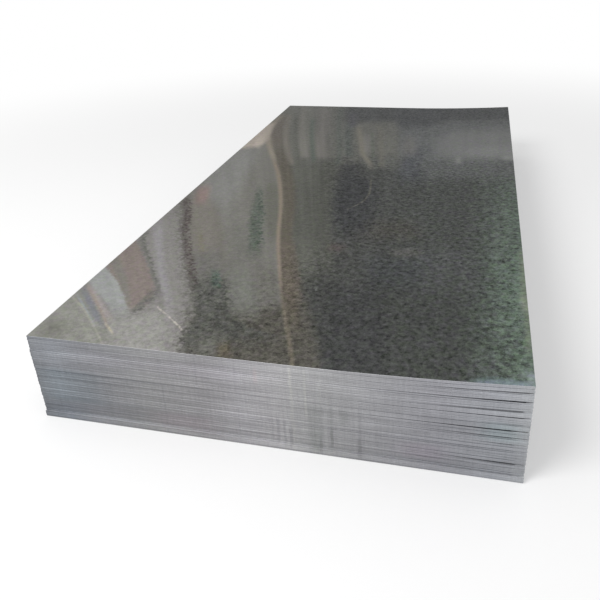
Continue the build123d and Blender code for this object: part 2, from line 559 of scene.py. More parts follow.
broad_patches = [
    patch("grey back", (104, 104, 99), [(2.68, 19, 12.2), (2.76, 19, 6.4), (3.3, 19, 6.4), (4.0, 19, 6.4)],
        side=0.5, end=0.2, rag=0.3),
    patch("pale back", (113, 113, 107), [(2.9, 19, 15.0), (3.2, 19, 14.4), (4.0, 19, 14.2)],
        side=0.6, end=0.15),
    patch("grey middle", (97, 98, 92), [(1.66, 18.6, 14.8), (2.0, 18.6, 14.2), (2.4, 18.4, 13.8),
        (2.7, 18.6, 12.8)], side=0.9, end=0.1),
    patch("dull middle", (88, 89, 84), [(1.93, 17.0, 13.6), (2.2, 17.0, 13.4), (2.48, 16.6, 12.9)],
        opacity=0.75, side=0.6, end=0.08),
    patch("dim middle", (85, 86, 81), [(1.7, 14.8, 13.1), (2.1, 14.6, 13.1), (2.6, 14.2, 12.4),
        (2.75, 14, 12)], side=0.6, end=0.1),
    patch("hazy back right", (99, 101, 101), [(2.6, 6.8, -6), (3.0, 6.8, -6), (3.45, 6.8, -6)],
        side=0.6, end=0.14, rag=0.2),
    patch("pale back right", (115, 116, 115), [(2.72, 3.0, -6), (3.0, 3.4, -6), (3.22, 1.9, -6)],
        side=1.1, end=0.1, rag=0.2),
    patch("brighter back right", (124, 125, 124), [(2.74, 1.4, -6), (2.92, 0.6, -6)],
        opacity=0.8, side=1.2, end=0.07, rag=0.2),
    patch("dark back rim", (71, 73, 74), [(3.4, 11.8, 3.2), (3.48, 11.8, -6), (3.8, 11.8, -6)],
        opacity=0.9, side=0.8, end=0.08),
    patch("dim stripe back right", (84, 86, 85), [(3.34, 4.5, -2.6), (3.4, 4.5, -2.6)],
        opacity=0.4, side=0.8, end=0.04),
    patch("grey haze above the dark", (92, 93, 90), [(2.63, 9.8, 6.2), (2.8, 10.2, 6.2)],
        side=0.5, end=0.07, rag=0.4),
    patch("grey haze right", (93, 95, 94), [(2.52, 4.6, -5), (2.75, 4.6, -5)], side=0.6, end=0.12, rag=0.8),
    patch("grey haze front right", (85, 87, 86), [(1.56, 5.2, -1.4), (1.84, 5.2, -1.0)],
        opacity=0.7, side=1.0, end=0.07, rag=0.6),
    patch("brown haze", (78, 75, 69), [(1.92, 11, 4.5), (2.06, 10.6, 5.0)],
        opacity=0.45, side=1.2, end=0.07, rag=0.8),
    patch("blue haze", (72, 75, 78), [(1.6, 9.6, 4.8), (1.78, 10, 3.4)],
        opacity=0.4, side=1.2, end=0.06, rag=0.8),
    patch("darker front", (70, 71, 71), [(1.15, 14.6, 7.5), (1.6, 13.4, 8.0)],
        opacity=0.8, side=1.5, end=0.06),
    patch("blue rim front right", (128, 142, 148), [(1.17, -1.4, -10), (1.2, -2.6, -10)],
        opacity=0.7, side=1.5, end=0.012),
    patch("warm dark front", (90, 88, 82), [(1.15, 30, 14.8), (1.4, 30, 15.4), (1.52, 30, 16),
        (1.66, 30, 16.4)], side=0.9, end=0.03, rag=0.4),
    patch("bright reflection left", (119, 118, 113),
        [(1.515, 50, 18.0)] + [(d, 50, t - 0.1) for d, t in ridge if d > 1.55], side=0.12, rag=0.3),
    patch("light reflection band", (131, 131, 128), [(2.27, 24.5, 22.3), (2.45, 25, 21.6), (2.9, 24, 19.8),
        (3.1, 24, 19.4)], side=0.9, end=0.25),
    patch("low reflection band", (121, 122, 116), [(1.5, 23.8, 20.8), (1.75, 23.6, 21.6)], side=0.5, end=0.1),
    patch("dull beside ridge", (112, 111, 105), [(1.56, 20.8, 18.5), (1.74, 20.6, 18.5)],
        opacity=0.8, side=0.4),
    patch("dull streak low", (111, 111, 106), [(1.8, 22.7, 21.4), (2.0, 22.6, 21.4), (2.1, 22.6, 21.4)],
        opacity=0.8, side=0.5, end=0.08),
    patch("shade beside ridge", (106, 106, 99), [(1.93, 19.5, 18.2), (2.4, 19.3, 17.7), (2.5, 19.0, 18)],
        side=0.4, end=0.1),
    patch("dusky left", (121, 118, 112), [(1.85, 26.9, 23.6), (2.2, 26.6, 23.8), (2.4, 26.4, 24.4)],
        side=0.5, end=0.15, rag=0.2),
    patch("dusky low left", (112, 111, 107), [(1.72, 26.8, 24.4), (1.9, 26.8, 24)],
        side=0.4, end=0.06, rag=0.2),
    patch("pale front left", (140, 138, 135), [(1.3, 50, 28.8), (1.42, 50, 29.0), (1.46, 50, 28.5),
        (1.6, 50, 27.9), (1.8, 50, 27.7), (2.5, 50, 27.5)], side=0.65, end=0.03, rag=0.8),
    patch("grey specks beside the pale", (118, 116, 112), [(1.34, 29.2, 27.0), (1.44, 28.9, 27.0),
        (1.5, 28.6, 27.2)], opacity=0.5, side=0.8, end=0.03, rag=1.0),
    patch("bright front left", (152, 151, 147), [(1.3, 36, 30.8), (1.42, 36, 30.2), (1.5, 36, 29.9),
        (1.57, 36, 29.5)], side=0.9, end=0.03, rag=0.5),
    patch("blue grey corner", (146, 146, 140), [(1.4, 46, 36.2), (1.6, 46, 36.0), (1.75, 46, 37.0),
        (1.9, 46, 37.6)], side=0.4),
    patch("corner shadow", (122, 122, 115), [(1.56, 42, 39.0), (1.64, 41, 39.2)], opacity=0.8, side=0.8),
    patch("pale blue", (158, 160, 158), [(1.6, 35.0, 33.5), (1.65, 35.2, 33.5), (1.8, 36.4, 34.0),
        (1.95, 37, 34.8)], side=0.35, end=0.07),
    patch("rust bloom", (139, 130, 125), [(1.61, 33.4, 31.6), (1.7, 33.6, 30.7), (1.8, 34.0, 30.8),
        (1.9, 34.6, 31.1), (2.15, 34.6, 31.9)], side=0.2, end=0.025, rag=0.2),
]
print("broad patches:", len(broad_patches))

# %% [markdown]
# The finer marks are speckled streaks, whose grains let the zinc below show, and thin lines that
# follow the fan, stains and painted reflections together. A thin line is a patch whose two edges keep
# one width apart.


# %% Fine patches
def line(name, tone, half, points, opacity=1.0, side=None, end=0.04, rag=0.03, speckled=0.0):
    """A thin line of that half width in degrees, through points of distance and turn."""
    rows = [(distance, turn + half, turn - half) for distance, turn in sorted(points)]
    return patch(name, tone, rows, opacity, half if side is None else side, end, rag, speckled)


near_marks = [
    line("rust bloom rim", (111, 111, 107), 0.25, [(1.68, 30.3), (1.8, 30.65), (1.9, 30.8), (2.03, 31.1),
        (2.15, 30.7)], rag=0.25, speckled=0.4),
    patch("rust bloom foot", (112, 112, 108), [(1.585, 33.5, 32.7), (1.62, 32.9, 31.5),
        (1.66, 31.9, 30.7), (1.7, 31.0, 30.4)], end=0.02, rag=0.3, speckled=0.5),
    patch("lavender band", (153, 151, 153), [(1.6, 30.0, 29.2), (1.8, 30.2, 29.5), (2.2, 29.9, 29.0)],
        opacity=0.8, side=0.4, end=0.1),
    patch("grey beside the bloom", (125, 125, 119), [(1.64, 33.3, 33.1), (1.7, 33.6, 33.1),
        (1.8, 33.9, 33.1), (1.9, 34.2, 33.3), (2.0, 34.6, 33.6)], opacity=0.7, end=0.04),
    patch("corner stripe violet", (133, 135, 142), [(1.57, 36.5, 36.05), (1.61, 36.8, 36.2),
        (1.7, 37.1, 36.5), (1.78, 37.4, 36.85)], opacity=0.8, side=0.25),
    patch("corner stripe pink", (165, 158, 156), [(1.58, 35.7, 35.0), (1.68, 36.3, 35.7),
        (1.8, 36.7, 36.3)], opacity=0.85, side=0.25),
    line("corner streak dim", (131, 132, 128), 0.12, [(1.48, 35.6), (1.53, 35.9), (1.6, 36.1)],
        opacity=0.4),
    line("corner streak blue white", (160, 166, 170), 0.1, [(1.57, 36.85), (1.66, 37.25), (1.75, 37.7)],
        opacity=0.7, speckled=0.2),
    line("corner streak white", (168, 167, 157), 0.1, [(1.45, 36.4), (1.58, 37.0), (1.69, 37.6),
        (1.75, 38.15)], opacity=0.7, speckled=0.2),
    line("corner streak pale", (155, 155, 148), 0.12, [(1.48, 37.3), (1.6, 37.9), (1.72, 38.6)],
        opacity=0.5, speckled=0.2),
    line("corner streak gold", (160, 146, 134), 0.14, [(1.55, 35.7), (1.6, 35.85), (1.68, 36.15),
        (1.79, 36.6)], opacity=0.5, speckled=0.3),
    line("corner streak gold end", (188, 181, 160), 0.12, [(1.505, 35.35), (1.56, 35.8)],
        opacity=0.8, end=0.02, speckled=0.3),
    patch("pale rim front right", (146, 154, 141), [(1.5, -5.6, -9), (1.57, -5.2, -9)],
        opacity=0.85, side=0.45, end=0.03, rag=0.2),
    patch("olive rim right", (124, 132, 116), [(1.32, -6.4, -9), (1.42, -6.1, -9), (1.6, -5.3, -9),
        (1.85, -4.7, -9)], opacity=0.6, rag=0.2),
    patch("blue rim corner", (138, 149, 148), [(1.19, -6.9, -10), (1.235, -6.6, -10)],
        opacity=0.85, side=0.5, end=0.015, rag=0.3),
    line("bright scratch", (188, 182, 175), 0.1, [(1.45, 28.8), (1.485, 29.2), (1.525, 29.8),
        (1.555, 30.25), (1.595, 30.8)], end=0.01, speckled=0.75),
    line("wine streak", (90, 84, 82), 0.42, [(1.62, 26.8), (1.72, 27.05), (1.84, 27.15), (2.09, 27.15),
        (2.21, 26.8), (2.42, 26.6)], side=0.25, rag=0.35, speckled=0.6),
    patch("dark crystals", (87, 88, 84), [(1.36, 29.4, 18.9), (1.45, 28.4, 23), (1.5, 27.4, 23.8),
        (1.6, 27.2, 23.8), (1.72, 27.1, 24.0)], side=0.6, end=0.06, rag=0.6, speckled=0.3),
    patch("green crystals", (80, 95, 86), [(1.66, 25.3, 24.4), (1.76, 25.2, 24.4)],
        opacity=0.85, side=0.25, end=0.03, rag=0.4, speckled=0.4),
    patch("lighter mark in the front", (111, 111, 105), [(1.32, 27.6, 24.8), (1.4, 27.2, 25.0)],
        opacity=0.85, side=0.6, end=0.03, rag=0.3),
    patch("brown mark in the front", (101, 92, 76), [(1.3, 25.6, 24.2), (1.36, 25.6, 24.2)],
        opacity=0.6, side=0.5, end=0.03, rag=0.2),
    patch("green streak", (86, 94, 86), [(1.86, 21.5, 20.1), (1.97, 21.2, 19.85), (2.09, 21.1, 19.7),
        (2.18, 20.85, 19.5), (2.3, 20.4, 19.6), (2.45, 20.0, 19.6)], end=0.08, rag=0.35, speckled=0.4),
    patch("pink by the left edge", (142, 121, 118), [(2.34, 25.9, 24.8), (2.52, 25.4, 24.2)],
        opacity=0.65, side=0.4, end=0.06),
    line("olive flecks", (117, 113, 94), 0.3, [(1.9, 25.8), (2.06, 25.8)],
        opacity=0.5, rag=0.4, speckled=0.6),
    patch("brown beside ridge", (100, 94, 84), [(d, t - 0.1, t - 1.35) for d, t in ridge if 1.3 < d < 3.1],
        opacity=0.7, side=0.35, end=0.1),
    patch("rusty beside ridge", (106, 99, 91), [(1.52, 18.1, 16.6), (1.7, 18.3, 16.5), (1.92, 18.3, 16.8)],
        opacity=0.65, side=0.35, end=0.06, rag=0.3),
    line("ridge", (137, 127, 115), 0.16, [(d, t) for d, t in ridge if 1.4 < d < 2.9], side=0.22, end=0.12),
    patch("brown back", (112, 105, 97), [(3.0, 18.6, 17.3), (3.3, 18.4, 17.2), (3.6, 17.6, 16.6)],
        opacity=0.8, side=0.35, end=0.1, rag=0.2),
    line("ridge far", (146, 139, 127), 0.24, [(d, t - max(0, d - 3.3)) for d, t in ridge if 2.7 < d < 3.7],
        opacity=0.9, side=0.22, end=0.1),
    line("ridge near", (115, 109, 98), 0.22, [(1.15, 17.7), (1.3, 17.9), (1.45, 18.2), (1.55, 18.35)],
        side=0.25, end=0.06),
    patch("dark smudge", (66, 67, 68), [(1.95, 12.4, 9.4), (2.2, 12.9, 8.9), (2.42, 12.4, 8.8),
        (2.56, 12.0, 10.4), (2.74, 11.6, 10.7)], opacity=0.9, side=0.9, end=0.12, rag=0.9),
    patch("rosy fleck", (90, 81, 79), [(1.83, 13.5, 11.9), (1.88, 13.5, 11.9)],
        opacity=0.55, side=0.5, end=0.03, rag=0.4),
    patch("grey smear", (90, 90, 87), [(1.79, 7.4, 4.4), (1.84, 7.4, 4.4)],
        opacity=0.8, side=0.7, end=0.02, rag=0.2),
]
far_marks = [
    patch("pale left rim", (178, 169, 159), [(3.02, 22, 19.4), (3.12, 22, 18.8), (3.25, 22, 18.45),
        (3.45, 22, 17.9)], side=0.4),
    line("back line 1", (128, 123, 115), 0.22, [(2.72, 16.6), (2.89, 16.85), (3.09, 17.0), (3.28, 16.95),
        (3.6, 16.6)], opacity=0.85, side=0.28),
    line("back dark line 1", (93, 94, 88), 0.3, [(2.5, 16.0), (2.9, 16.15), (3.1, 16.2), (3.6, 16.0)],
        opacity=0.75, end=0.1),
    line("back line 2", (127, 125, 119), 0.3, [(2.82, 15.4), (2.93, 15.45), (3.18, 15.55), (3.32, 15.5),
        (3.54, 15.45), (3.69, 15.15), (3.85, 15.5)], opacity=0.8),
    line("back line 3", (121, 118, 114), 0.55, [(2.8, 13.8), (2.89, 13.9), (3.08, 13.9), (3.28, 13.6),
        (3.47, 13.5), (3.74, 13.5)], opacity=0.8),
    line("back green line 1", (93, 101, 94), 0.2, [(2.75, 14.6), (2.98, 14.65), (3.2, 14.65), (3.5, 14.5)],
        opacity=0.8),
    line("back green line 2", (89, 94, 89), 0.25, [(2.7, 12.4), (2.88, 12.2), (3.38, 12.2), (3.75, 11.9)],
        opacity=0.7),
    line("back dark line 2", (84, 89, 86), 0.4, [(2.8, 11.3), (3.1, 11.4), (3.4, 11.2)], opacity=0.8),
    line("back violet line", (83, 83, 87), 0.35, [(3.3, 10.9), (3.6, 10.9)], opacity=0.8),
    line("back line 4", (121, 119, 116), 0.5, [(2.85, 9.5), (3.0, 9.6), (3.15, 9.5)],
        opacity=0.7, end=0.08),
    line("second ridge", (130, 126, 115), 0.2, [(2.66, 9.3), (2.74, 9.6), (2.84, 10.05), (2.98, 10.15),
        (3.13, 10.3), (3.3, 10.4)], opacity=0.85, side=0.35, end=0.08),
    line("back green line 3", (95, 99, 91), 0.15, [(2.78, 9.1), (3.2, 9.2)], opacity=0.8),
    line("back line 5", (113, 111, 103), 0.25, [(2.65, 8.3), (3.3, 8.5)], opacity=0.6),
    line("back dark line 3", (95, 95, 90), 0.2, [(2.75, 7.0), (3.15, 7.0)], opacity=0.3),
    patch("blue stripe", (77, 79, 83), [(2.5, 6.8, 4.4), (2.7, 6.5, 4.9), (2.9, 5.6, 4.2)],
        opacity=0.8, side=0.7, end=0.16, rag=0.3),
    patch("blue stripe back", (72, 74, 76), [(3.27, 6.8, 4.0), (3.45, 7.0, 3.0), (3.75, 7.2, 2.8)],
        opacity=0.8, side=0.6, end=0.08),
    patch("grey streak back", (112, 110, 107), [(2.82, 6.5, 5.2), (3.1, 6.4, 5.4)],
        opacity=0.6, side=0.5, end=0.08),
    line("faint arc", (93, 92, 85), 0.09, [(2.18, 11.6), (2.22, 10.6), (2.27, 9.9), (2.36, 9.4),
        (2.5, 9.3)], opacity=0.7, end=0.03),
    patch("chalk mark", (134, 134, 133), [(2.69, 1.7, 1.1), (2.78, 1.6, 1.2)], opacity=0.55, end=0.03),
    patch("pale rim right", (138, 140, 137), [(2.74, -2.4, -6), (2.8, -2.4, -6)],
        opacity=0.5, side=0.4, end=0.02),
]
for distance, turn in ((1.59, 14.9), (2.12, 5.2), (2.2, 0.0), (2.35, -3.7), (3.56, 0.1)):
    rows = [(distance - 0.006, turn + 0.1, turn - 0.1), (distance + 0.006, turn + 0.1, turn - 0.1)]
    near_marks.append(patch("light fleck", (124, 126, 125), rows, opacity=0.6, side=0.1, end=0.01))
print("marks:", len(near_marks), "in front and", len(far_marks), "at the back")

# %% [markdown]
# The material works out each point's place in the fan and greens the right-hand edge, in flecks. Then
# it lays the patches on in their order and adds faint streaks of painted reflection that follow the fan,
# with finer ones right of the ridge. The crystals show most where the zinc is dark, and hardly at all
# in the bright bands of painted reflection and among the fine streaks.

# %% Lay the patches
RAG_TURN = 4.0  # degrees that the grain pushes an edge to the side, for a rag of 1
RAG_DISTANCE = 0.2  # metres that it pushes an end, for a rag of 1
WAVER = 0.004  # metres that it shifts every edge along the fan
HOLE_EDGE = 0.08  # how softly the grains of a speckled patch end


def brightness_of(tree, tone):
    """A tone as one number."""
    return add(tree, "ShaderNodeRGBToBW", {0: tone}).outputs[0]


def lay_patches(tree, patches, tone, grain, turn_share, distance):
    """Lays patches on a tone. Pale ground pushes their ragged edges out a little."""
    paleness = brightness_of(tree, tone)
    push = sum_of(tree, "MULTIPLY_ADD", paleness, 0.1, sum_of(tree, "SUBTRACT", grain, 0.52))
    wavering = sum_of(tree, "MULTIPLY_ADD", push, WAVER, distance)
    share = sum_of(tree, "MULTIPLY_ADD", wavering, 1 / FAN_DEPTH, -NEAREST / FAN_DEPTH)
    holes = fade(tree, push, HOLE_EDGE, -HOLE_EDGE)
    ragged = {}
    for grade in sorted({one["rag"] for one in patches}):
        ragged_turn = sum_of(tree, "MULTIPLY_ADD", push, RAG_TURN * grade / FAN_SPREAD, turn_share)
        ragged_distance = sum_of(tree, "MULTIPLY_ADD", push, RAG_DISTANCE * grade, distance)
        ragged[grade] = (ragged_turn, ragged_distance)
    for one in patches:
        left = hand_drawn_edge(tree, share, [(row[0], row[1]) for row in one["rows"]])
        right = hand_drawn_edge(tree, share, [(row[0], row[2]) for row in one["rows"]])
        distances = [row[0] for row in one["rows"]]
        inputs = {
            "Turn": ragged[one["rag"]][0], "Distance": ragged[one["rag"]][1], "Left Edge": left,
            "Right Edge": right, "Side Softness": one["side"] / FAN_SPREAD, "Near End": min(distances),
            "Far End": max(distances), "End Softness": one["end"], "Holes": holes,
            "Speckled Share": one["speckled"], "Opacity": one["opacity"],
        }
        cover = add(tree, "ShaderNodeGroup", inputs, node_tree=patch_cover, label=one["name"]).outputs[0]
        tone = paint(tree, cover, tone, colour(*one["tone"]))
    return tone


# %% Zinc with stains and painted reflections
# How much painted reflection brightens the zinc at each distance, as a factor, and how green its edge is, as
# a share
reflection_brightening = [
    (1.1, 1.0), (1.6, 1.0), (1.8, 1.1), (2.0, 1.18), (2.2, 1.2), (2.4, 1.22), (2.6, 1.18), (2.8, 1.2),
    (3.0, 1.16), (3.2, 1.05), (3.4, 0.97), (3.9, 0.92),
]
greener = [
    (1.1, 0.9), (1.3, 0.9), (1.45, 1.0), (1.7, 1.0), (1.88, 0.62), (2.1, 0.55), (2.6, 0.3), (3.1, 0.0),
]
dark_zinc = (76, 77, 75)  # the ground below the patches
right_zinc = (75, 77, 75)  # the same in the right-hand part of the fan
edge_green = (116, 133, 119)


def stains_and_painted_reflections():
    """The zinc of the uppermost face, with its stains and painted reflections."""
    material, tree = new_material("zinc with stains and painted reflections")
    here = add(tree, "ShaderNodeTexCoord").outputs["Object"]
    place = add(tree, "ShaderNodeSeparateXYZ", {0: here}).outputs

    # Place in the fan
    left_of_spot = sum_of(tree, "SUBTRACT", reflection_spot[0], place[0])
    behind_spot = sum_of(tree, "SUBTRACT", place[1], reflection_spot[1])
    angle = sum_of(tree, "ARCTAN2", left_of_spot, behind_spot)
    turn = sum_of(tree, "DEGREES", angle)
    away = sum_of(tree, "DIVIDE", behind_spot, sum_of(tree, "COSINE", angle))
    turn_share = sum_of(tree, "MULTIPLY_ADD", turn, 1 / FAN_SPREAD, -RIGHTMOST / FAN_SPREAD)
    grain = noise(tree, here, 95.0, 4.0)

    # The right-hand edge turns green, in flecks
    reach = sum_of(tree, "MULTIPLY_ADD", away, 1 / FAN_DEPTH, -NEAREST / FAN_DEPTH)
    edge_near = fade(tree, place[0], 0.43, 0.69, 0.0, 0.72)
    points = [(along_fan(distance), share) for distance, share in greener]
    green_share = product(tree, edge_near, curve_through(tree, reach, points))
    flecks = fade(tree, noise(tree, here, 72.0, 6.0, 0.7), 0.3, 0.7, 0.2, 1.8)
    flecked = sum_of(tree, "MULTIPLY", green_share, flecks, clamp=True)
    ground = paint(tree, fade(tree, turn, 12.0, 3.0), colour(*dark_zinc), colour(*right_zinc))
    tone = paint(tree, flecked, ground, colour(*edge_green))

    for patches in (broad_patches, near_marks, far_marks):
        tone = lay_patches(tree, patches, tone, grain, turn_share, away)

    # Faint streaks of painted reflection along the fan, with finer ones right of the ridge
    along = add(tree, "ShaderNodeCombineXYZ", {0: turn, 1: away}).outputs[0]
    level = fade(tree, noise(tree, along, 0.9, 4.0), 0.25, 0.75, 0.93, 1.07)
    squeezed = product(tree, turn, 2.6)
    fine_along = add(tree, "ShaderNodeCombineXYZ", {0: squeezed, 1: away}).outputs[0]
    fine = fade(tree, noise(tree, fine_along, 1.0, 3.0), 0.25, 0.75)
    fine = sum_of(tree, "MULTIPLY_ADD", fine, 0.16, -0.08)
    in_streaks = product(tree, fade(tree, turn, 7.0, 12.0), fade(tree, turn, 19.5, 18.0))
    fine = product(tree, fine, in_streaks, fade(tree, away, 1.8, 2.2))
    level = sum_of(tree, "ADD", level, fine)

    # Painted reflection, brighter farther from the front, but only a fifth as much near the left-hand edge
    points = [(along_fan(distance), factor) for distance, factor in reflection_brightening]
    lift = sum_of(tree, "SUBTRACT", curve_through(tree, reach, points, 2.0), 1.0)
    lift = product(tree, lift, fade(tree, turn, 27.6, 26.2, 0.2, 1.0))
    tone = scaled(tree, tone, product(tree, level, sum_of(tree, "ADD", lift, 1.0)))

    # How much the crystals show: most where the zinc is dark or green, least in the streaks
    low_swing = fade(tree, away, 1.75, 1.5, 0.27, 0.42)
    swing = fade(tree, brightness_of(tree, tone), 0.1, 0.2, 1.15, low_swing)
    swing = product(tree, swing, sum_of(tree, "MULTIPLY_ADD", green_share, 0.8, 1.0))
    streaky = product(tree, fade(tree, turn, 12.4, 14.2), fade(tree, turn, 19.5, 18.6))
    streaky = product(tree, streaky, fade(tree, away, 1.72, 1.95))
    swing = product(tree, swing, sum_of(tree, "MULTIPLY_ADD", streaky, -0.6, 1.0))
    zinc_shader(tree, tone, swing, here, fade(tree, place[0], 0.1, 0.6, 0.12, 0.2))
    return material


top_zinc = stains_and_painted_reflections()
print("zinc with stains and painted reflections:", len(top_zinc.node_tree.nodes), "nodes")

# %% [markdown]
# ## The sheared edges
# The cut faces are bare, brushed by the shears, and a little bluer than the zinc. Each plate has its
# own tone. The torn part of the cut is duller than the burnished part. On the front end the metal is
# paler in the middle and at the right, darker and lighter vertical marks run down it, and painted
# shadow lines and painted highlight lines run across it. The other three sides have one plain tone.

# %% Sheared edge
plain_edge = (151, 152, 155)  # the tone of the back and of the two long sides
# Tone across the front end: X in metres and the colour there
front_tones = [
    (-0.628, (131, 133, 137)), (-0.56, (139, 142, 147)), (-0.48, (136, 137, 141)), (-0.3, (145, 145, 146)),
    (-0.14, (148, 147, 149)), (-0.06, (160, 159, 162)), (0.04, (167, 166, 168)), (0.1, (163, 163, 164)),
    (0.2, (159, 159, 161)), (0.42, (153, 153, 158)), (0.56, (161, 163, 168)), (0.626, (168, 170, 173)),
]
# Light from the floor up: the share of the stack's height and a factor
front_light = [
    (0.0, 0.85), (0.06, 1.07), (0.13, 0.9), (0.18, 1.0), (0.22, 0.9), (0.26, 0.98), (0.3, 0.9), (0.36, 1.06),
    (0.42, 0.97), (0.46, 1.08), (0.5, 0.9), (0.57, 1.02), (0.65, 1.01), (0.75, 1.09), (0.9, 1.06),
    (1.0, 1.16),
]
stack_height = 0.2565  # at the left, where no pack curls
RAMP_SCALE = 0.78  # turns X into a place on a ramp that is 0.5 in the middle
# Noise scales along X, Y and Z: of the fine marks of the shears, and of streaks with their strength
shear_teeth = (420.0, 420.0, 60.0)
cut_streaks = (((5.0, 5.0, 85.0), 0.1), ((9.0, 9.0, 330.0), 0.06), ((170.0, 170.0, 9.0), 0.05))
GAP_SHADE_STRENGTH = 0.68
torn_roughness = 0.56
burnished_roughness = 0.46
# Marks on the front end: X, half width, lowest and highest Z, and what they do to the colour
# Painted shadow lines lie under packs that stand out over the pack below and along the floor; painted
# highlight lines lie along the ledges of packs that stand out
end_marks = [
    ("light line", 0.077, 0.004, 0.0, 0.256, (1.07, 1.07, 1.05)),
    ("light line", 0.077, 0.003, 0.16, 0.25, (1.06, 1.06, 1.04)),
    ("light line", 0.112, 0.003, 0.113, 0.244, (1.09, 1.09, 1.06)),
    ("light line", 0.149, 0.003, 0.15, 0.24, (1.05, 1.05, 1.04)),
    ("rusty line", -0.010, 0.005, 0.195, 0.236, (1.06, 1.0, 1.0)),
    ("vertical mark", 0.024, 0.0025, 0.03, 0.1, (0.91, 0.91, 0.91)),
    ("vertical mark", 0.038, 0.003, 0.02, 0.09, (0.86, 0.86, 0.87)),
    ("light drip", 0.047, 0.003, 0.02, 0.1, (1.05, 1.05, 1.05)),
    ("vertical mark", 0.055, 0.003, 0.015, 0.085, (0.88, 0.88, 0.89)),
    ("light drip", 0.063, 0.003, 0.02, 0.1, (1.05, 1.05, 1.05)),
    ("vertical mark", 0.071, 0.004, 0.008, 0.07, (0.81, 0.81, 0.82)),
    ("drip band", 0.135, 0.016, 0.008, 0.149, (0.93, 0.94, 0.93)),
    ("drip band", 0.135, 0.015, 0.008, 0.075, (0.93, 0.94, 0.93)),
    ("vertical mark", 0.147, 0.004, 0.006, 0.05, (0.86, 0.86, 0.86)),
    ("light drip", 0.159, 0.004, 0.01, 0.13, (1.05, 1.05, 1.05)),
    ("vertical mark", 0.174, 0.0035, 0.023, 0.151, (0.93, 0.94, 0.93)),
    ("vertical mark", 0.174, 0.004, 0.026, 0.082, (0.82, 0.82, 0.82)),
    ("blots", 0.204, 0.011, 0.103, 0.144, (0.88, 0.89, 0.88)),
    ("vertical mark", 0.2425, 0.004, 0.01, 0.149, (0.92, 0.92, 0.92)),
    ("vertical mark", 0.2425, 0.0045, 0.01, 0.06, (0.84, 0.84, 0.84)),
    ("faint line", -0.425, 0.002, 0.0, 0.2, (0.95, 0.95, 0.95)),
    ("faint line", -0.344, 0.002, 0.0, 0.25, (0.95, 0.95, 0.95)),
    ("faint line", -0.262, 0.002, 0.0, 0.25, (0.93, 0.93, 0.94)),
    ("faint line", -0.164, 0.002, 0.0, 0.25, (0.94, 0.94, 0.95)),
    ("faint line", -0.0635, 0.002, 0.0, 0.25, (0.95, 0.95, 0.95)),
    ("teal zone", -0.53, 0.09, 0.056, 0.162, (0.93, 0.98, 0.99)),
    ("teal zone", 0.565, 0.04, 0.113, 0.164, (0.95, 1.03, 1.02)),
    ("dark corner zone", -0.6, 0.1, -0.02, 0.05, (0.86, 0.88, 0.9)),
    ("dull corner zone", 0.6, 0.03, 0.035, 0.11, (0.93, 0.93, 0.94)),
    ("dark rim", -0.628, 0.006, -0.02, 0.27, (0.8, 0.81, 0.82)),
    ("rosy zone", -0.22, 0.08, 0.02, 0.065, (1.02, 0.97, 0.99)),
    ("rosy zone", 0.39, 0.05, 0.03, 0.075, (1.0, 0.95, 0.98)),
    ("dull zone", -0.25, 0.2, 0.19, 0.228, (0.95, 0.94, 0.96)),
    ("painted shadow line", -0.43, 0.17, 0.1505, 0.1565, (0.9, 0.91, 0.92)),
    ("painted shadow line", -0.10, 0.15, 0.1505, 0.155, (0.95, 0.95, 0.95)),
    ("painted shadow line", -0.38, 0.22, 0.1065, 0.1115, (0.92, 0.92, 0.92)),
    ("painted shadow line", -0.44, 0.17, 0.067, 0.074, (0.88, 0.89, 0.9)),
    ("painted shadow line", -0.05, 0.12, 0.068, 0.072, (0.94, 0.94, 0.94)),
    ("painted shadow line", 0.21, 0.32, 0.0835, 0.0885, (0.93, 0.93, 0.94)),
    ("painted shadow line", -0.45, 0.16, 0.040, 0.050, (0.91, 0.91, 0.92)),
    ("painted shadow line", 0.3, 0.3, -0.002, 0.005, (0.88, 0.88, 0.89)),
    ("painted highlight line", -0.27, 0.33, 0.2095, 0.2155, (1.13, 1.13, 1.13)),
    ("painted highlight line", 0.43, 0.13, 0.012, 0.019, (1.07, 1.07, 1.07)),
    ("painted highlight line", -0.42, 0.19, 0.017, 0.025, (1.06, 1.06, 1.06)),
]


def stretched_noise(tree, place, scales, detail):
    """Noise with its own scale along each axis."""
    moved = add(tree, "ShaderNodeVectorMath", {0: place, 1: scales}, operation="MULTIPLY").outputs[0]
    return noise(tree, moved, 1.0, detail)


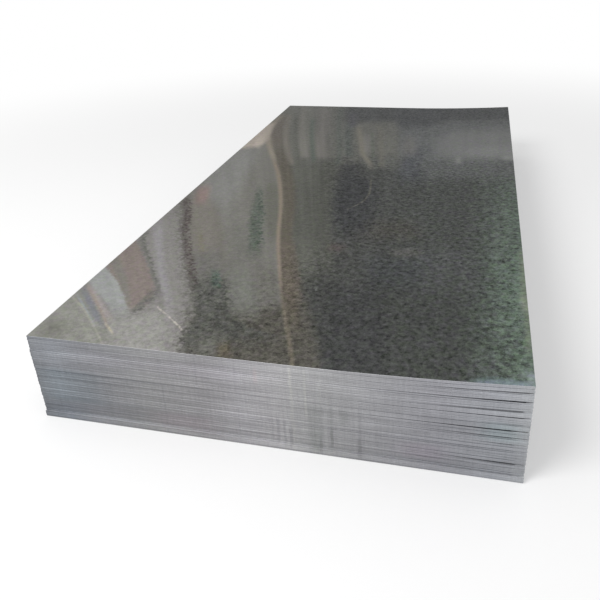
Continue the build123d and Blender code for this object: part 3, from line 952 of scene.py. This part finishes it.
def sheared_edge():
    """Bare steel where the shears went through."""
    material, tree = new_material("sheared edge")
    here = add(tree, "ShaderNodeTexCoord").outputs["Object"]
    place = add(tree, "ShaderNodeSeparateXYZ", {0: here}).outputs
    through = kept_value(tree, "through_thickness")

    # Tone across the end, and from the floor up
    ramp = add(tree, "ShaderNodeValToRGB", {0: sum_of(tree, "MULTIPLY_ADD", place[0], RAMP_SCALE, 0.5)})
    elements = ramp.color_ramp.elements
    while len(elements) < len(front_tones):
        elements.new(0.5)
    for element, (x, tone) in zip(elements, front_tones):
        element.position = x * RAMP_SCALE + 0.5
        element.color = colour(*tone)
    at_front = fade(tree, place[1], -1.1, -1.2)
    tone = paint(tree, at_front, colour(*plain_edge), ramp.outputs[0])
    height_share = sum_of(tree, "DIVIDE", place[2], stack_height)
    tone = scaled(tree, tone, curve_through(tree, height_share, front_light, 1.5))

    # Marks, on the front end only, which wander a few millimetres as they run down
    wander = sum_of(tree, "SUBTRACT", noise(tree, here, 45.0, 2.0), 0.5)
    across = sum_of(tree, "MULTIPLY_ADD", wander, 0.008, place[0])
    for name, x, half, lowest, highest, change in end_marks:
        side = min(half * (0.8 if "zone" in name else 0.5), 0.05)
        end = min(0.012, 0.5 * (highest - lowest))
        off = sum_of(tree, "ABSOLUTE", sum_of(tree, "SUBTRACT", across, x))
        cover = fade(tree, off, half + side, half - side)
        middle = (lowest + highest) / 2
        height_off = sum_of(tree, "ABSOLUTE", sum_of(tree, "SUBTRACT", place[2], middle))
        reach = (highest - lowest) / 2
        height_cover = fade(tree, height_off, reach + end, reach - end)
        cover = product(tree, cover, height_cover, at_front)
        tone = paint(tree, cover, tone, (*change, 1.0), "MULTIPLY")

    # Each plate's own tone, stronger at the left
    at_left = fade(tree, place[0], 0.0, -0.5, 0.08, 0.16)
    own_tone = sum_of(tree, "SUBTRACT", kept_value(tree, "plate_tone"), 0.5)
    level = sum_of(tree, "MULTIPLY_ADD", own_tone, at_left, 1.0)

    # Fine marks of the shears, and long faint streaks
    teeth = stretched_noise(tree, here, shear_teeth, 2.0)
    level = product(tree, level, fade(tree, teeth, 0.2, 0.8, 0.93, 1.07))
    for scales, swing in cut_streaks:
        streaks = fade(tree, stretched_noise(tree, here, scales, 3.0), 0.25, 0.75, 1 - swing, 1 + swing)
        level = product(tree, level, streaks)

    # Torn below, burnished above, and painted shade over the rolled edge
    burnished = fade(tree, through, 0.4, 0.5)
    level = product(tree, level, sum_of(tree, "MULTIPLY_ADD", burnished, 0.03, 0.98))
    level = product(tree, level, fade(tree, through, 0.9, 1.0, 1.0, 0.95))

    # Painted shade round the mouth of a wedge
    band = kept_value(tree, "mouth_band")
    below_top = sum_of(tree, "SUBTRACT", 1.0, through)
    ran = fade(tree, below_top, sum_of(tree, "ADD", band, 0.1), sum_of(tree, "SUBTRACT", band, 0.1))
    gap_shade = product(tree, mouth_share(tree, place[0]), ran)
    level = product(tree, level, sum_of(tree, "MULTIPLY_ADD", gap_shade, -GAP_SHADE_STRENGTH, 1.0))
    tone = scaled(tree, tone, level)
    glossier = burnished_roughness - torn_roughness
    rough = sum_of(tree, "MULTIPLY_ADD", burnished, glossier, torn_roughness)
    bump = add(tree, "ShaderNodeBump", {"Strength": 0.25, "Distance": 0.0002, "Height": teeth})
    inputs = {"Base Color": tone, "Roughness": rough, "Metallic": 1.0, "Normal": bump.outputs[0]}
    shader = add(tree, "ShaderNodeBsdfPrincipled", inputs)
    shader.inputs["Specular Tint"].default_value = DULL_GLANCE
    add(tree, "ShaderNodeOutputMaterial", {0: shader.outputs[0]})
    return material


edge_finish = sheared_edge()
print("sheared edge:", len(edge_finish.node_tree.nodes), "nodes")

# %% [markdown]
# ## The stack
# Every plate runs the tree once, with its place read from the CAD model. The rise of its right-hand
# edge gives the radius of its bend. The result is a plain mesh that stands for the CAD plate.


# %% Make the plates
def make_plate(name, tone, face_finish, mouth):
    """One plate where the CAD model has it, as a plain mesh."""
    low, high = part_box(name)
    rise = high.z - low.z - plate_thickness
    reach = low.x + plate_width - edge_roll - bend_start
    radius = reach**2 / (2 * rise) - plate_thickness if rise > 1e-6 else FLAT_RADIUS
    values = {
        "Left": low.x, "Front": low.y, "Underside": low.z, "Width": plate_width, "Length": plate_length,
        "Thickness": plate_thickness, "Edge Roll": edge_roll, "Torn Share": torn_share,
        "Torn Lean": torn_lean, "Bend Start": bend_start, "Bend Radius": radius, "Plate Tone": tone,
        "Mouth Start": mouth[0], "Mouth Darkness": mouth[1], "Mouth Band": mouth[2],
        "Mouth End": mouth[3], "Face Finish": face_finish, "Edge Finish": edge_finish,
    }
    piece = bpy.data.objects.new(name + "_sheared", bpy.data.meshes.new(name + "_sheared"))
    bpy.context.scene.collection.objects.link(piece)
    maker = piece.modifiers.new("sheared plate", "NODES")
    maker.node_group = sheared_plate
    for socket in sheared_plate.interface.items_tree:
        if socket.in_out == "INPUT":
            maker[socket.identifier] = values[socket.name]
    evaluated = piece.evaluated_get(bpy.context.evaluated_depsgraph_get())
    mesh = bpy.data.meshes.new_from_object(evaluated)
    mesh.name = name + "_sheared"
    piece.modifiers.remove(maker)
    old_mesh = piece.data
    piece.data = mesh
    bpy.data.meshes.remove(old_mesh)
    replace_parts(piece, name)
    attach(piece, "root")
    return piece


draw = random.Random(7)
plates = []
for name in plate_names:
    finish = lit_zinc if name in lit_plates else shaded_zinc
    if name == plate_names[-1]:
        finish = top_zinc
    plates.append(make_plate(name, draw.random(), finish, mouths.get(name, NO_MOUTH)))
faces = sum(len(piece.data.polygons) for piece in plates)
print("plates made:", len(plates), "with", faces, "faces")

# %% [markdown]
# Each plate has to lie where its CAD plate lies, so the corners of the two boxes are compared.

# %% Set the made plates against the CAD plates
worst = 0.0
for piece in plates:
    low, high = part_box(piece["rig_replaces"][0])
    corners = [vertex.co for vertex in piece.data.vertices]
    for side in range(3):
        worst = max(worst, abs(min(c[side] for c in corners) - low[side]))
        worst = max(worst, abs(max(c[side] for c in corners) - high[side]))
print("largest difference from the CAD boxes:", round(worst * 1000, 3), "mm")

# %% [markdown]
# ## Floor and light
# The floor is a plain pale disc. It fades into white far from the stack, so that no horizon shows, and
# near the stack a quarter of what camera and mirror rays see is white, which softens the shadow but
# keeps it. The sky lights the stack evenly from all sides, and one broad lamp at the front left adds
# a soft direction. Camera and mirror rays see the sky at strength 1, which is white.

# %% Floor
floor_radius = 30.0
floor_white = colour(250, 250, 250)
near_white_share = 0.25  # how white the floor looks beside the stack
FADE_START = 1.6  # metres from the middle of the stack
FADE_END = 4.5
FLOOR_SIDES = 96


def seen_share(tree):
    """1 for camera, mirror and glass rays, and 0 for the rays that light the stack."""
    rays = add(tree, "ShaderNodeLightPath").outputs
    seen = sum_of(tree, "MAXIMUM", rays["Is Camera Ray"], rays["Is Glossy Ray"])
    return sum_of(tree, "MAXIMUM", seen, rays["Is Transmission Ray"])


def make_floor():
    """A round floor in the z = 0 plane."""
    angles = [2 * math.pi * side / FLOOR_SIDES for side in range(FLOOR_SIDES)]
    rim = [(floor_radius * math.cos(angle), floor_radius * math.sin(angle), 0.0) for angle in angles]
    mesh = bpy.data.meshes.new("floor")
    mesh.from_pydata(rim, [], [tuple(range(FLOOR_SIDES))])
    floor = bpy.data.objects.new("floor", mesh)
    bpy.context.scene.collection.objects.link(floor)
    material, tree = new_material("pale floor")
    here = add(tree, "ShaderNodeTexCoord").outputs["Object"]
    away = add(tree, "ShaderNodeVectorMath", {0: here}, operation="LENGTH").outputs["Value"]
    whiteness = fade(tree, away, FADE_START, FADE_END, near_white_share, 1.0)
    white_share = product(tree, seen_share(tree), whiteness)
    plain = add(tree, "ShaderNodeBsdfDiffuse", {"Color": floor_white})
    white = add(tree, "ShaderNodeEmission", {"Color": (1.0, 1.0, 1.0, 1.0), "Strength": 1.0})
    mixed = add(tree, "ShaderNodeMixShader", {0: white_share, 1: plain.outputs[0], 2: white.outputs[0]})
    add(tree, "ShaderNodeOutputMaterial", {0: mixed.outputs[0]})
    mesh.materials.append(material)
    floor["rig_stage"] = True
    return floor


floor = make_floor()
print("floor with", len(floor.data.vertices), "sides, radius", floor_radius, "m")

# %% Light
sky_strength = 0.66
lamp_place = Vector((-2.4, -3.6, 4.2))
lamp_aim = Vector((0.0, 0.0, 0.15))
lamp_size = 3.0
lamp_power = 170.0

world = bpy.data.worlds.new("white room")
bpy.context.scene.world = world
world.use_nodes = True
sky = world.node_tree
sky.nodes.clear()
strength = fade(sky, seen_share(sky), 0.0, 1.0, sky_strength, 1.0)
background = add(sky, "ShaderNodeBackground", {"Color": (1.0, 1.0, 1.0, 1.0), "Strength": strength})
add(sky, "ShaderNodeOutputWorld", {0: background.outputs[0]})

lamp_data = bpy.data.lights.new("broad lamp", "AREA")
lamp_data.shape = "DISK"
lamp_data.size = lamp_size
lamp_data.energy = lamp_power
lamp = bpy.data.objects.new("broad lamp", lamp_data)
bpy.context.scene.collection.objects.link(lamp)
aim = (lamp_aim - lamp_place).to_track_quat("-Z", "Y")
lamp.matrix_world = Matrix.Translation(lamp_place) @ aim.to_matrix().to_4x4()
bpy.context.scene.view_settings.view_transform = "Standard"
print("lamp", round((lamp_place - lamp_aim).length, 2), "m away")

# %% [markdown]
# The box of the finished scene is printed.

# %% Finish
low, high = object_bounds()
print("visual box", tuple(low), tuple(high))
